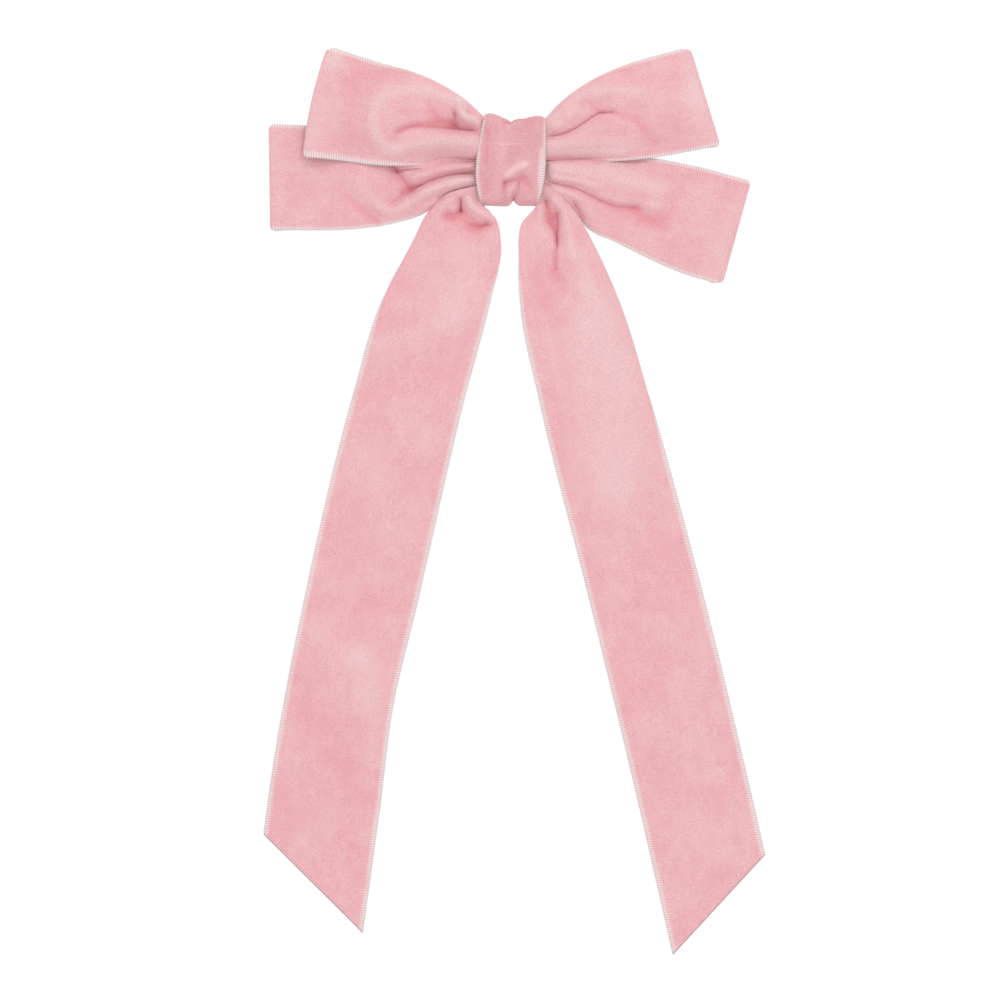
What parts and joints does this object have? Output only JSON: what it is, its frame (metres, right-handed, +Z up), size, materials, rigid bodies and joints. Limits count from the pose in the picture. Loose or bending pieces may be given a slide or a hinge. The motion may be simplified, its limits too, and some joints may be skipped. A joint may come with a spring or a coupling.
{
  "type": "barrette",
  "caption": "Velvet ribbon hair bow with upper and lower loops and long slanting-cut tails, wrapped onto an arched spring clip with a hinged clasp arm and a squeeze catch.",
  "frame": {"origin": "Middle of the hair channel, halfway between the tension bar and the clasp arm", "axes": "+X to the right of the bow seen from the front, along the clip; +Y towards the hair, square to the clip; +Z up as worn, with the tails hanging down -Z"},
  "size_m": [0.1649, 0.0286, 0.2985],
  "materials": {
    "velvet": "cotton velvet, short dense pile, soft sheen",
    "selvedge": "woven picot edge, pale",
    "thread": "polyester sewing thread",
    "clip_steel": "nickel-plated pressed steel",
    "spring_steel": "nickel-plated spring steel"
  },
  "bodies": {
    "bow": {"base_bar": "clip_steel", "catch_plate": "spring_steel", "catch_rivet": "clip_steel", "hinge_pin": "clip_steel", "upper_ribbon": "velvet", "lower_ribbon": "velvet", "tail_fold": "velvet", "centre_wrap": "velvet", "binding_thread": "thread"},
    "arm": {"clasp_arm": "clip_steel"},
    "prong_upper": {"catch_prong_upper": "spring_steel"},
    "prong_lower": {"catch_prong_lower": "spring_steel"},
    "spring_bar": {"tension_bar": "spring_steel"},
    "left_tail": {"tail_left": "velvet"},
    "right_tail": {"tail_right": "velvet"}
  },
  "joints": [
    {"name": "arm_swing", "type": "hinge", "parent": "bow", "child": "arm", "pos_m": [-0.0315, 0.00264, 0], "axis": [0, 0, 1], "range_deg": [0, 80]},
    {"name": "prong_upper_squeeze", "type": "hinge", "parent": "bow", "child": "prong_upper", "pos_m": [0.03012, -0.00295, 0.00225], "axis": [-0.9932, -0.1162, 0], "range_deg": [0, 5], "stiffness_Nm_per_rad": 0.5},
    {"name": "prong_lower_squeeze", "type": "hinge", "parent": "bow", "child": "prong_lower", "pos_m": [0.03012, -0.00295, -0.00225], "axis": [-0.9932, -0.1162, 0], "range_deg": [-5, 0], "stiffness_Nm_per_rad": 0.5},
    {"name": "tension_bar_flex", "type": "slide", "parent": "bow", "child": "spring_bar", "axis": [0, -1, 0], "range_m": [0, 0.0008], "stiffness_N_per_m": 1500},
    {"name": "left_tail_swing", "type": "hinge", "parent": "bow", "child": "left_tail", "pos_m": [-0.0173, -0.0158, -0.024], "axis": [-1, 0, 0], "range_deg": [-20, 80]},
    {"name": "right_tail_swing", "type": "hinge", "parent": "bow", "child": "right_tail", "pos_m": [0.0134, -0.0158, -0.024], "axis": [-1, 0, 0], "range_deg": [-20, 80]}
  ]
}
